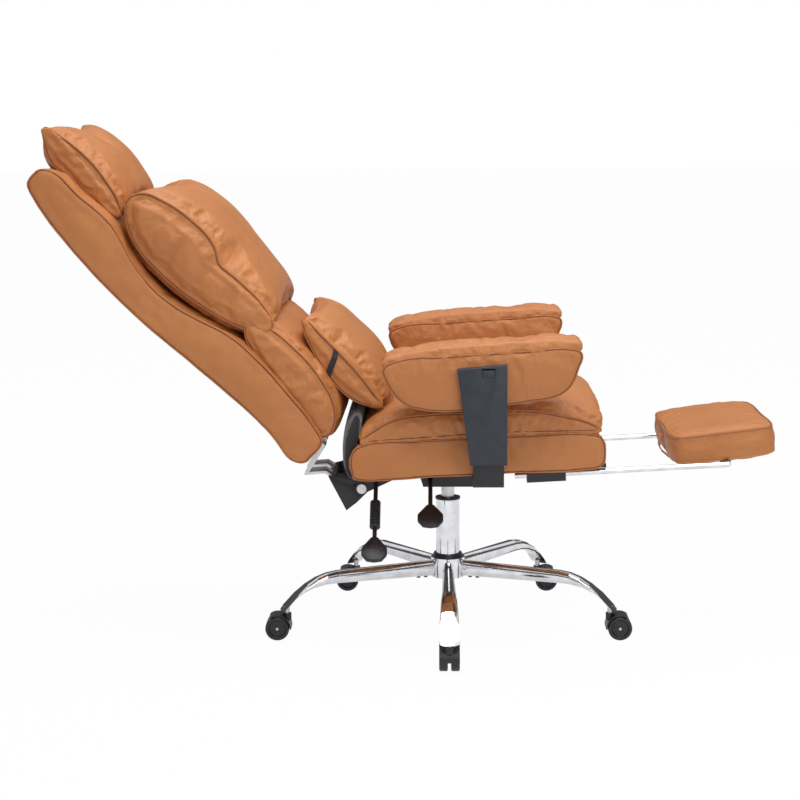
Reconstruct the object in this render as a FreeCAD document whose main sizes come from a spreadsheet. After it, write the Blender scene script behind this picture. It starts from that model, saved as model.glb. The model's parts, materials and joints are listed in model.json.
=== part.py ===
import FreeCAD, Part
import math
import os
from FreeCAD import Placement, Rotation, Vector

# A reclining office chair with a pull-out footrest.
# +X points to the front, +Y to the sitter's left and +Z up.
# The origin lies on the floor, on the swivel axis. Lengths are millimetres, angles degrees.

SIZES = (
    # five-star base and gas lift
    ("hub_radius", 36, "outside radius of the hub"),
    ("hub_bottom", 108, "height of the hub's underside"),
    ("hub_height", 42, "height of the hub"),
    ("leg_count", 5, "number of legs and casters"),
    ("leg_first_angle", 198, "direction of the first leg"),
    ("leg_reach", 355, "swivel axis to caster stem"),
    ("leg_root_width", 20, "leg width at the hub"),
    ("leg_root_depth", 35, "leg depth at the hub"),
    ("leg_root_z", 127, "leg centre height at the hub"),
    ("leg_shoulder_reach", 246, "where the leg starts to drop"),
    ("leg_shoulder_z", 124, "leg centre height at the shoulder"),
    ("leg_tip_width", 41, "leg width at the tip"),
    ("leg_tip_depth", 18, "leg depth at the tip"),
    ("leg_tip_z", 72, "leg centre height at the caster stem"),
    ("leg_end_length", 9, "leg beyond the caster stem"),
    ("leg_screw_radius", 4, "radius of the screws under the legs"),
    ("leg_screw_length", 12, "length of the screws under the legs"),
    ("leg_screw_inner", 50, "axis to inner screw"),
    ("leg_screw_pitch", 16, "inner screw to outer screw"),
    ("leg_screw_stand", 2, "screw head below the leg"),
    ("trim_ring_height", 8, "height of the ring on the hub"),
    ("trim_ring_width", 8, "width of the ring on the hub"),
    ("tube_radius", 25, "outside radius of the gas lift's tube"),
    ("tube_wall", 3, "wall of the gas lift's tube"),
    ("tube_height", 168, "height of the gas lift's tube"),
    ("bush_depth", 30, "guide bush inside the tube"),
    ("bush_flange_height", 4, "flange of the guide bush"),
    ("bush_flange_edge", 1.5, "flange beyond the tube"),
    ("lift_cylinder_radius", 14, "radius of the sliding cylinder"),
    ("lift_cylinder_bore", 10, "bore radius of the sliding cylinder"),
    ("lift_cylinder_bottom", 150, "lower end of the sliding cylinder"),
    ("lift_cylinder_floor", 6, "thickness of the sliding cylinder's end"),
    ("piston_radius", 9.9, "radius of the piston"),
    ("piston_height", 10, "height of the piston"),
    ("piston_rod_radius", 5, "radius of the piston rod"),
    ("bearing_radius", 15, "outside radius of the thrust bearing"),
    ("bearing_height", 6, "height of the thrust bearing"),
    ("lift_travel", 80, "how far the seat rises"),
    ("valve_pin_radius", 4, "radius of the valve pin"),
    ("valve_pin_length", 12, "length of the valve pin"),
    ("valve_pin_travel", 4, "travel of the valve pin"),
    # casters
    ("wheel_radius", 25, "radius of a caster wheel"),
    ("wheel_width", 17, "width of a caster wheel"),
    ("wheel_dish_radius", 16, "radius of the wheel's recess"),
    ("wheel_dish_depth", 3, "depth of the wheel's recess"),
    ("caster_trail", 20, "stem to axle"),
    ("hood_gap", 1.6, "air between wheel and hood"),
    ("hood_wall", 2.6, "wall of the hood"),
    ("hood_start", 55, "where the hood starts behind the axle"),
    ("hood_sweep", 128, "angle that the hood covers"),
    ("web_thickness", 6, "plate between the two wheels"),
    ("web_boss_radius", 9, "boss of that plate on the axle"),
    ("stem_radius", 5.5, "radius of the caster stem"),
    ("stem_boss_radius", 9, "radius of the boss round the stem"),
    ("stem_boss_top", 55, "top of the boss round the stem"),
    ("stem_boss_height", 14, "height of the boss round the stem"),
    ("stem_bottom", 47.5, "height of the stem's lower end"),
    ("stem_height", 21.5, "length of the caster stem"),
    ("axle_radius", 3, "radius of the caster axle"),
    # seat
    ("seat_tilt", 3, "nose-up tilt of the seat, arms and footrest rods"),
    ("seat_height", 375, "underside of the seat above the floor at the axis"),
    ("seat_rear", 194, "axis to the rear of the seat"),
    ("seat_front", 314, "axis to the front of the seat"),
    ("seat_width", 520, "width of the seat"),
    ("seat_base_height", 70, "height of the upholstered base"),
    ("seat_base_round", 14, "rounding of the base's rear edge"),
    ("seat_cushion_height", 72, "height of the cushion at its middle"),
    ("seat_cushion_side", 50, "height of the cushion at its sides"),
    ("seat_cushion_slope", 60, "length of the cushion's sloping rear"),
    ("seat_cushion_nose", 70, "length of the cushion's rounded front"),
    ("board_thickness", 12, "plywood seat and back boards"),
    ("board_inset", 14, "board inside the seat's edge"),
    ("rear_panel_thickness", 4, "fabric panel behind the seat"),
    ("rear_panel_inset", 35, "fabric panel inside the seat's sides"),
    ("rear_panel_margin", 2, "fabric panel inside the base's flat rear"),
    # mechanism under the seat
    ("mech_bottom", 313, "underside of the mechanism"),
    ("mech_front", 92, "axis to the front of the mechanism's box"),
    ("mech_rear", 70, "axis to the rear of the mechanism's box"),
    ("mech_width", 120, "width of the mechanism's box"),
    ("mech_flange_thickness", 4, "flange screwed to the seat board"),
    ("mech_flange_width", 180, "width of the flange"),
    ("mech_flange_rear", 178, "axis to the rear of the flange"),
    ("socket_depth", 26, "cylinder's seat in the mechanism"),
    ("cheek_thickness", 5, "cheeks that carry the recline pivot"),
    ("cheek_round", 15, "radius of the cheeks round the pivot"),
    ("pivot_x", -180, "recline pivot behind the axis"),
    ("pivot_z", 316, "height of the recline pivot"),
    ("pivot_radius", 6, "radius of the pivot pin"),
    ("pivot_head_radius", 10, "radius of the pivot pin's head"),
    ("pivot_head_height", 6, "height of the pivot pin's head"),
    ("bolt_radius", 3, "radius of the bolts"),
    ("bolt_head_radius", 6.5, "radius of the bolt heads"),
    ("bolt_head_height", 4, "height of the bolt heads"),
    ("bolt_depth", 8, "bolts inside the board"),
    ("seat_bolt_front", 70, "axis to the front bolts"),
    ("seat_bolt_rear", 60, "axis to the rear bolts"),
    ("seat_bolt_spread", 75, "middle to the bolts"),
    # backrest, given along the back from its foot and out from its rear seam
    ("back_lean", 44.3, "backrest from the vertical"),
    ("back_foot_x", -295, "rear lower corner of the back, behind the axis"),
    ("back_foot_z", 395, "height of that corner"),
    ("back_length", 775, "length of the back"),
    ("back_width", 510, "width of the back"),
    ("back_foot_depth", 66, "depth of the back at its foot"),
    ("back_foot_round", 26, "rounding of the back's foot"),
    ("back_lumbar_at", 240, "where the back is deepest below"),
    ("back_lumbar_depth", 91, "depth there"),
    ("back_waist_at", 455, "where the back is shallow"),
    ("back_waist_depth", 66, "depth there"),
    ("back_shoulder_at", 605, "where the back is deepest above"),
    ("back_shoulder_depth", 96, "depth there"),
    ("back_top_depth", 50, "depth of the back at its top"),
    ("back_hollow_at", 500, "where the rear bulges most"),
    ("back_hollow", 20, "bulge of the rear there"),
    ("back_top_forward", 14, "forward curve of the top"),
    ("back_board_from", 40, "foot of the back board"),
    ("back_board_length", 330, "length of the back board"),
    ("back_board_width", 440, "width of the back board"),
    ("back_board_cover", 16, "padding behind the back board"),
    ("pillow_width", 470, "width of the back cushions"),
    ("lower_cushion_top", 280, "top of the lower back cushion"),
    ("lower_cushion_front", 155, "front of the lower back cushion"),
    ("lower_cushion_belly_at", 100, "where the lower back cushion stands out first"),
    ("lower_cushion_foot", 100, "front of its foot"),
    ("upper_pillow_foot", 236, "foot of the upper back pillow"),
    ("upper_pillow_top", 612, "top of the upper back pillow"),
    ("upper_pillow_front", 190, "front of the upper back pillow"),
    ("upper_pillow_foot_front", 160, "front of its foot"),
    ("head_pillow_foot", 618, "foot of the head pillow"),
    ("head_pillow_top", 829, "top of the head pillow"),
    ("head_pillow_front", 131, "front of the head pillow"),
    ("head_pillow_ear", 108, "front of its upper edge"),
    ("head_pillow_width", 410, "width of the head pillow"),
    ("lumbar_width", 400, "width of the lumbar pillow"),
    ("lumbar_foot", -30, "foot of the lumbar pillow"),
    ("lumbar_top", 196, "top of the lumbar pillow"),
    ("lumbar_front", 244, "front of the lumbar pillow"),
    ("lumbar_slope", 10, "slope of its rear face and of its slide"),
    ("soft_gap", 0.4, "air between two soft pieces that move apart"),
    ("bracket_width", 150, "width of the back's pivot bracket"),
    ("bracket_wall", 5, "wall of the back's pivot bracket"),
    ("strap_thickness", 6, "steel straps that carry the back"),
    ("strap_width", 50, "width of a strap"),
    ("strap_spread", 40, "middle to a strap's centre"),
    ("strap_length", 150, "strap inside the back"),
    ("back_bolt_first", 70, "foot of the back to the lower bolts"),
    ("back_bolt_pitch", 60, "lower bolts to upper bolts"),
    # arms
    ("arm_centre_x", 60, "middle of the arm pad"),
    ("arm_bottom_z", 516, "underside of the arm pad there"),
    ("arm_inner", 240, "middle to the arm pad's inner face"),
    ("arm_width", 85, "width of the arm pad"),
    ("arm_rear", 187, "rear half of the arm pad"),
    ("arm_front", 206, "front half of the arm pad"),
    ("arm_height", 134, "height of the arm pad"),
    ("arm_travel", 60, "how far an arm rises"),
    ("sleeve_top", 92, "sleeve's top above the pad's underside"),
    ("sleeve_top_length", 96, "length of the sleeve's top"),
    ("sleeve_foot_length", 72, "length of the sleeve's foot"),
    ("sleeve_foot_z", 415, "height of the sleeve's foot"),
    ("sleeve_thickness", 24, "thickness of the sleeve"),
    ("post_length", 60, "length of the post's section"),
    ("post_thickness", 10, "thickness of the post's section"),
    ("post_top_z", 515, "top of the post"),
    ("post_plate_thickness", 5, "plate under the seat"),
    ("post_plate_reach", 140, "how far the plate runs under the seat"),
    ("slide_fit", 0.3, "air round a sliding post or lever"),
    ("trigger_length", 24, "length of the arm's trigger"),
    ("trigger_height", 14, "height of the arm's trigger"),
    ("trigger_depth", 8, "depth of the arm's trigger"),
    ("trigger_travel", 3, "travel of the arm's trigger"),
    ("trigger_drop", 8, "trigger below the sleeve's top"),
    # footrest
    ("rod_radius", 6, "radius of the footrest rods"),
    ("rod_spread", 180, "middle to a rod"),
    ("rod_rear_room", 7, "rod ends to the seat's rear with the footrest slid in"),
    ("rod_front", 565, "axis to the cross bar"),
    ("rod_drop", 21, "rods below the seat's underside"),
    ("guide_width", 22, "width of a guide block"),
    ("guide_rear", 157, "axis to the rear of a guide block"),
    ("guide_length", 79, "length of a guide block"),
    ("guide_wall", 8, "guide block below the rod"),
    ("channel_front", 318, "axis to the front of a guide channel"),
    ("channel_height", 8, "height of a guide channel"),
    ("channel_gap", 3, "air between rod and channel"),
    ("running_fit", 0.05, "radial air of shafts in bores"),
    ("foot_pad_tilt", 7, "tilt of the footrest pad"),
    ("foot_pad_width", 330, "width of the footrest pad"),
    ("foot_pad_rear", 114, "pad behind the cross bar"),
    ("foot_pad_front", 99, "pad in front of the cross bar"),
    ("foot_pad_height", 57, "height of the footrest pad"),
    ("foot_pad_stand", 11, "cross bar to the pad's underside"),
    ("foot_pad_round", 16, "rounding of the pad's edges"),
    ("lug_thickness", 6, "thickness of the pad's lugs"),
    ("lug_radius", 11, "radius of a lug round the cross bar"),
    ("lug_spread", 140, "middle to a lug"),
    ("pull_strap_width", 26, "width of the pull strap"),
    ("pull_strap_drop", 14, "how far the pull strap stands out"),
    ("pull_strap_thickness", 2.5, "thickness of the pull strap"),
    ("footrest_travel", 320, "how far the footrest slides in"),
    # levers
    ("lever_radius", 4.5, "radius of the lever rods"),
    ("lever_root", 52, "middle to the root of the height lever"),
    ("lever_lift_room", 2, "room above and below the height lever in its slot"),
    ("lever_x", -37, "height lever behind the axis"),
    ("lever_root_z", 327, "height of its root"),
    ("lever_bend_y", 160, "middle to its bend"),
    ("lever_bend_z", 315, "height of its bend"),
    ("lever_tip_y", 184, "middle to the end of its rod"),
    ("lever_tip_z", 300, "height of the end of its rod"),
    ("paddle_length", 62, "length of a paddle"),
    ("paddle_width", 52, "width of a paddle"),
    ("paddle_thickness", 10, "thickness of a paddle"),
    ("recline_lever_x", -150, "recline lever behind the axis"),
    ("recline_root_y", 93, "middle to the root of the recline lever"),
    ("recline_root_z", 330, "height of its root"),
    ("recline_tip_y", 215, "middle to the end of its rod"),
    ("recline_tip_z", 240, "height of the end of its rod"),
    ("lever_sleeve_radius", 11, "radius of the ribbed sleeve"),
    ("lever_sleeve_length", 70, "length of the ribbed sleeve"),
    ("lever_sleeve_start", 55, "root to the ribbed sleeve"),
)

doc = FreeCAD.newDocument("RecliningOfficeChair")
sheet = doc.addObject("Spreadsheet::Sheet", "Sizes")
for row, (alias, value, meaning) in enumerate(SIZES, start=1):
    sheet.set("A%d" % row, meaning)
    sheet.set("B%d" % row, str(value))
    sheet.setAlias("B%d" % row, alias)
doc.recompute()

NODES = {}


def size(alias):
    return float(getattr(sheet, alias))


def formula(words):
    """A formula in the names of the sheet, as the sheet's expressions want it."""
    return " ".join("Sizes." + w if w.isidentifier() else w for w in words.split())


def at(x, y, z):
    return Placement(Vector(x, y, z), Rotation())


def along_y(x, start, z):
    """Place for a round piece that runs from start towards -Y."""
    return Placement(Vector(x, start, z), Rotation(Vector(1, 0, 0), 90))


def pointing(start, end):
    """Place for a round piece that starts at one point and runs towards another."""
    return Placement(Vector(*start), Rotation(Vector(0, 0, 1), Vector(*end) - Vector(*start)))


def cylinder(label, radius, height, place, angle="360"):
    piece = doc.addObject("Part::Cylinder", label)
    piece.setExpression("Radius", formula(radius))
    piece.setExpression("Height", formula(height))
    piece.setExpression("Angle", formula(angle))
    piece.Placement = place
    return piece


def box(label, length, width, height, place):
    piece = doc.addObject("Part::Box", label)
    piece.setExpression("Length", formula(length))
    piece.setExpression("Width", formula(width))
    piece.setExpression("Height", formula(height))
    piece.Placement = place
    return piece


def cut(label, base, tool):
    piece = doc.addObject("Part::Cut", label)
    piece.Base = base
    piece.Tool = tool
    return piece


def fuse(label, pieces):
    piece = doc.addObject("Part::MultiFuse", label)
    piece.Shapes = pieces
    piece.Refine = True
    return piece


def common(label, pieces):
    piece = doc.addObject("Part::MultiCommon", label)
    piece.Shapes = pieces
    return piece


def group(label, pieces):
    """Several separate solids in one node, as a compound."""
    piece = doc.addObject("Part::Compound", label)
    piece.Links = pieces
    return piece


def keep(node, piece):
    piece.Label = node
    NODES[node] = piece
    return piece


def sketch(body, name, role, points, smooth=False, offset=0):
    """A closed outline on one of the body's origin planes, straight or smooth."""
    drawing = body.newObject("Sketcher::SketchObject", name)
    plane = [f for f in body.Origin.OriginFeatures if f.Role == role][0]
    drawing.AttachmentSupport = [(plane, "")]
    drawing.MapMode = "FlatFace"
    drawing.AttachmentOffset = at(0, 0, offset)
    corners = [Vector(p[0], p[1], 0) for p in points]
    if smooth:
        curve = Part.BSplineCurve()
        curve.interpolate(Points=corners, PeriodicFlag=True)
        drawing.addGeometry(curve)
    else:
        for here, there in zip(corners, corners[1:] + corners[:1]):
            drawing.addGeometry(Part.LineSegment(here, there))
    return drawing


def prism(label, points, width, smooth=False, role="XZ_Plane", place=None):
    """A body padded to both sides of an origin plane."""
    body = doc.addObject("PartDesign::Body", label)
    pad = body.newObject("PartDesign::Pad", label + "_pad")
    pad.Profile = sketch(body, label + "_outline", role, points, smooth)
    pad.SideType = "Symmetric"
    pad.setExpression("Length", formula(width))
    body.Tip = pad
    body.Placement = place or Placement()
    return body


def turned(label, points, place=None):
    """A body turned round its own Z axis, from points given as radius and height."""
    body = doc.addObject("PartDesign::Body", label)
    outline = sketch(body, label + "_outline", "XZ_Plane", points)
    turn = body.newObject("PartDesign::Revolution", label + "_turn")
    turn.Profile = outline
    turn.ReferenceAxis = (outline, ["V_Axis"])
    turn.Angle = 360
    body.Tip = turn
    body.Placement = place or Placement()
    return body


def tilted(x0, z0, angle, along, up):
    """World x and z of a point given along and above a line that rises by angle."""
    turn = math.radians(angle)
    return (
        x0 + along * math.cos(turn) - up * math.sin(turn),
        z0 + along * math.sin(turn) + up * math.cos(turn),
    )


def on_seat(along, up):
    return tilted(0, size("seat_height"), size("seat_tilt"), along, up)


def on_back(along, out):
    """World x and z of a point given along the back from its foot and out from its rear seam."""
    lean = math.radians(size("back_lean"))
    x = size("back_foot_x") - along * math.sin(lean) + out * math.cos(lean)
    z = size("back_foot_z") + along * math.cos(lean) + out * math.sin(lean)
    return x, z


def ribbon(path, thickness):
    """Outline of a strip of even thickness along a bent path."""
    sides = ([], [])
    for n, (x, z) in enumerate(path):
        before = path[max(n - 1, 0)]
        after = path[min(n + 1, len(path) - 1)]
        first = Vector(x - before[0], z - before[1], 0) if n else Vector(after[0] - x, after[1] - z, 0)
        second = Vector(after[0] - x, after[1] - z, 0) if n < len(path) - 1 else first
        normal = (first.normalize() + second.normalize()).normalize()
        reach = thickness / 2 / normal.dot(second)
        sides[0].append((x - normal.y * reach, z + normal.x * reach))
        sides[1].insert(0, (x + normal.y * reach, z - normal.x * reach))
    return sides[0] + sides[1]


# Base

HUB_TOP = size("hub_bottom") + size("hub_height")
LEG_STEP = 360 / size("leg_count")


def make_hub():
    body = cylinder("hub_body", "hub_radius", "hub_height", at(0, 0, size("hub_bottom")))
    bore = cylinder("hub_bore", "tube_radius", "hub_height", at(0, 0, size("hub_bottom")))
    keep("base_hub", cut("hub", body, bore))
    inner = size("tube_radius")
    outer = inner + size("trim_ring_width")
    top = HUB_TOP + size("trim_ring_height")
    ring = [(inner, HUB_TOP), (outer, HUB_TOP), (outer - 3, top), (inner, top)]
    keep("hub_trim_ring", turned("trim_ring", ring))


def leg_section(width, depth, z):
    """Twelve points of a rounded section, in the plane across the leg."""
    points = []
    for step in range(12):
        turn = math.tau * step / 12
        across = math.copysign(abs(math.cos(turn)) ** 0.75, math.cos(turn))
        upward = math.copysign(abs(math.sin(turn)) ** 0.75, math.sin(turn))
        points.append((across * width / 2, z + upward * depth / 2))
    return points


def leg_path():
    """Stations along a leg: reach, height, downward slope, width and depth. It runs level, then bends."""
    shoulder = size("leg_shoulder_reach")
    reach = size("leg_reach")
    drop = size("leg_shoulder_z") - size("leg_tip_z")
    bend = 2 * math.atan2(drop, reach - shoulder)
    radius = (reach - shoulder) / math.sin(bend)
    stations = []
    for step in range(4):
        share = step / 4
        stations.append((shoulder * share, share_between("leg_root_z", "leg_shoulder_z", share), 0, share / 2))
    for step in range(6):
        turn = bend * step / 5
        along = shoulder + radius * math.sin(turn)
        height = size("leg_shoulder_z") - radius * (1 - math.cos(turn))
        stations.append((along, height, turn, 0.5 + 0.1 * step))
    end = size("leg_end_length")
    last = stations[-1]
    stations.append((last[0] + end * math.cos(bend), last[1] - end * math.sin(bend), bend, 1))
    return stations


def share_between(first, last, share):
    return size(first) + (size(last) - size(first)) * share


def make_legs():
    """One lofted leg, with its stem socket and its two screws, then turned round the hub."""
    reach = size("leg_reach")
    body = doc.addObject("PartDesign::Body", "leg_body")
    drawings = []
    for along, height, slope, share in leg_path():
        width = share_between("leg_root_width", "leg_tip_width", share)
        depth = share_between("leg_root_depth", "leg_tip_depth", share)
        section = leg_section(width, depth, 0)
        drawing = sketch(body, "leg_section_%d" % len(drawings), "YZ_Plane", section, True)
        turn = Rotation(Vector(1, 0, 0), -math.degrees(slope))
        drawing.AttachmentOffset = Placement(Vector(0, height, along), turn)
        drawings.append(drawing)
    loft = body.newObject("PartDesign::AdditiveLoft", "leg_loft")
    loft.Profile = drawings[0]
    loft.Sections = drawings[1:]
    loft.Ruled = True
    body.Tip = loft
    hub = cylinder("leg_hub_room", "hub_radius", "hub_height * 2", at(0, 0, size("hub_bottom") - 20))
    socket = cylinder("leg_socket", "stem_radius + running_fit", "stem_height + slide_fit", at(reach, 0, size("stem_bottom")))
    screws = []
    for n in range(2):
        place = at(size("leg_screw_inner") + n * size("leg_screw_pitch"), 0, leg_underside())
        screws.append(cylinder("leg_screw_%d" % n, "leg_screw_radius", "leg_screw_length", place))
    one_leg = cut("leg_shape", body, fuse("leg_room", [hub, socket] + screws))
    doc.recompute()
    legs = doc.addObject("Part::Feature", "legs")
    legs.Shape = Part.makeCompound([turned_copy(one_leg.Shape, n) for n in leg_numbers()])
    keep("base_legs", legs)
    bolts = doc.addObject("Part::Feature", "bolts")
    bolts.Shape = Part.makeCompound([turned_copy(s.Shape, n) for s in screws for n in leg_numbers()])
    keep("leg_screws", bolts)


def leg_numbers():
    return range(int(size("leg_count")))


def leg_underside():
    return size("leg_root_z") - size("leg_root_depth") / 2 - size("leg_screw_stand")


def leg_angle(n):
    return size("leg_first_angle") + n * LEG_STEP


def turned_copy(shape, n):
    copy = shape.copy()
    copy.rotate(Vector(0, 0, 0), Vector(0, 0, 1), leg_angle(n))
    return copy


def make_gas_lift():
    bottom = size("hub_bottom")
    top = bottom + size("tube_height")
    outer = size("tube_radius")
    inner = outer - size("tube_wall")
    floor = bottom + size("tube_wall")
    tube = [(0, bottom), (outer, bottom), (outer, top), (inner, top), (inner, floor), (0, floor)]
    keep("gas_outer_tube", turned("tube", tube))
    slide = size("lift_cylinder_radius") + size("running_fit")
    edge = outer + size("bush_flange_edge")
    flange = top + size("bush_flange_height")
    depth = top - size("bush_depth")
    bush = [(slide, depth), (inner, depth), (inner, top), (edge, top), (edge, flange), (slide, flange)]
    keep("gas_guide_bush", turned("bush", bush))
    gap = size("slide_fit")
    rod = size("piston_rod_radius")
    bearing = floor + gap
    seat = bearing + size("bearing_height")
    ring = [(rod, bearing), (size("bearing_radius"), bearing), (size("bearing_radius"), seat), (rod, seat)]
    keep("thrust_bearing", turned("bearing", ring))
    piston = size("piston_radius")
    low = size("lift_cylinder_bottom")
    end = size("lift_cylinder_floor")
    head = low + end + size("lift_travel") + gap
    crest = head + size("piston_height")
    stem = [(0, bearing), (rod, bearing), (rod, head), (piston, head), (piston, crest), (0, crest)]
    keep("gas_piston_rod", turned("piston", stem))
    high = size("mech_bottom") + size("socket_depth")
    radius = size("lift_cylinder_radius")
    bore = size("lift_cylinder_bore")
    neck = rod + size("running_fit")
    pin = size("valve_pin_radius") + size("running_fit")
    crown = high - 2 * size("valve_pin_travel") - end
    shell = [(neck, low), (radius, low), (radius, high), (pin, high), (pin, crown)]
    shell += [(bore, crown), (bore, low + end), (neck, low + end)]
    keep("gas_inner_cylinder", turned("inner_cylinder", shell))
    keep(
        "gas_valve_pin",
        cylinder("valve_pin", "valve_pin_radius", "valve_pin_length", at(0, 0, high - size("valve_pin_length") / 2)),
    )


# Casters

TRAIL_ANGLES = (180, 90, 0, 0, 180)


def caster_place(n):
    turn = math.radians(leg_angle(n))
    stem = Vector(size("leg_reach") * math.cos(turn), size("leg_reach") * math.sin(turn), 0)
    return Placement(stem, Rotation(Vector(0, 0, 1), TRAIL_ANGLES[n % len(TRAIL_ANGLES)]))


def make_caster(n):
    """Twin-wheel caster: its stem stands at its own origin and its axle trails along its own +X."""
    name = "caster_%d" % (n + 1)
    place = caster_place(n)
    trail = size("caster_trail")
    axle_z = size("wheel_radius")
    web = size("web_thickness") / 2
    side = web + size("slide_fit") + size("wheel_width")
    hood_start = Rotation(Vector(0, 1, 0), -size("hood_start"))

    def across(half):
        return place.multiply(along_y(trail, half, axle_z))

    def sector(label, radius, width, half):
        spot = Placement(Vector(trail, half, axle_z), hood_start.multiply(Rotation(Vector(1, 0, 0), 90)))
        return cylinder(name + label, radius, width, place.multiply(spot), "hood_sweep")

    full = "( web_thickness + slide_fit * 2 + wheel_width * 2 )"
    hood = sector("_hood", "wheel_radius + hood_gap + hood_wall", full, side)
    boss_at = place.multiply(at(0, 0, size("stem_boss_top") - size("stem_boss_height")))
    boss = cylinder(name + "_boss", "stem_boss_radius", "stem_boss_height", boss_at)
    room = cylinder(name + "_room", "wheel_radius + hood_gap", full, across(side))
    shell = cut(name + "_shell", fuse(name + "_outer", [hood, boss]), room)
    plate = sector("_plate", "wheel_radius + hood_gap + hood_wall", "web_thickness", web)
    eye = cylinder(name + "_eye", "web_boss_radius", "web_thickness", across(web))
    solid = fuse(name + "_solid", [shell, plate, eye])
    stem_at = place.multiply(at(0, 0, size("stem_bottom")))
    stem = cylinder(name + "_stem", "stem_radius", "stem_height", stem_at)
    axle = cylinder(name + "_axle", "axle_radius", full, across(side))
    pins = group(name + "_pin_pair", [stem, axle])
    keep(name + "_pins", pins)
    keep(name + "_housing", cut(name + "_fork", solid, pins))
    bore = size("axle_radius") + size("running_fit")
    dish = size("wheel_dish_radius")
    face = size("wheel_width")
    rim = size("wheel_radius")
    wheel = [(bore, 0), (rim - 2, 0), (rim, 2), (rim, face - 2), (rim - 2, face), (dish + 2, face)]
    wheel += [(dish, face - size("wheel_dish_depth")), (bore, face - size("wheel_dish_depth"))]
    start = web + size("slide_fit")
    right = Placement(Vector(trail, -start, axle_z), Rotation(Vector(1, 0, 0), 90))
    left = Placement(Vector(trail, start, axle_z), Rotation(Vector(1, 0, 0), -90))
    pair = [
        turned(name + "_wheel_right", wheel, place.multiply(right)),
        turned(name + "_wheel_left", wheel, place.multiply(left)),
    ]
    keep(name + "_wheels", group(name + "_wheel_pair", pair))


# Seat

PIVOT = (size("pivot_x"), size("pivot_z"))


def make_seat():
    rear = -size("seat_rear")
    front = size("seat_front")
    base = size("seat_base_height")
    bend = size("seat_base_round")
    inset = size("board_inset")
    thick = size("board_thickness")
    outline = [(rear + bend, 0), (front, 0), (front, base), (rear + bend, base), (rear, base - bend), (rear, bend)]
    block = prism("base_block", [on_seat(*p) for p in outline], "seat_width")
    edge = [(rear + inset, 0), (front - inset, 0), (front - inset, thick), (rear + inset, thick)]
    board = prism("board_block", [on_seat(*p) for p in edge], "seat_width - board_inset * 2")
    top = base + size("seat_cushion_height")
    slope = size("seat_cushion_slope")
    nose = size("seat_cushion_nose")
    side = [(rear + bend, base), (front, base), (front + 6, base + 25), (front - nose / 3, top - 14)]
    side += [(front - nose, top - 2), (60, top), (rear + bend + slope, top - 4), (rear + bend + 22, base + 46)]
    flank = prism("cushion_flank", [on_seat(*p) for p in side], "seat_width - board_inset")
    half = size("seat_width") / 2
    low = size("seat_height") - 30
    crown_side = low + 30 + base + size("seat_cushion_side")
    crown_top = low + 30 + top + 20
    arch = [(-half, low), (half, low), (half, crown_side), (half * 0.62, crown_top - 6), (0, crown_top)]
    arch += [(-half * 0.62, crown_top - 6), (-half, crown_side)]
    crown = prism("cushion_crown", arch, "seat_front * 3", False, "YZ_Plane")
    keep("seat_cushion", common("cushion", [flank, crown]))
    panel = size("rear_panel_thickness")
    margin = size("rear_panel_margin") + bend
    sheet_edge = [(rear - panel, margin), (rear, margin), (rear, base - margin), (rear - panel, base - margin)]
    skin = prism("panel_block", [on_seat(*p) for p in sheet_edge], "seat_width - rear_panel_inset * 2")
    keep("seat_rear_panel", skin)
    bolts = []
    for along in (size("seat_bolt_front"), -size("seat_bolt_rear")):
        for across in (-1, 1):
            y = across * size("seat_bolt_spread")
            name = "seat_bolt_%d" % len(bolts)
            turn = Rotation(Vector(0, 1, 0), -size("seat_tilt"))
            x, z = on_seat(along, -size("mech_flange_thickness") - size("bolt_head_height"))
            head = cylinder(name + "_head", "bolt_head_radius", "bolt_head_height", Placement(Vector(x, y, z), turn))
            shank = cylinder(
                name + "_shank",
                "bolt_radius",
                "bolt_head_height + mech_flange_thickness + bolt_depth",
                Placement(Vector(x, y, z), turn),
            )
            bolts.append(fuse(name, [head, shank]))
    keep("seat_bolts", group("seat_bolt_set", bolts))
    keep("seat_board", cut("board", board, NODES["seat_bolts"]))
    keep("seat_base", cut("base", block, board))


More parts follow.
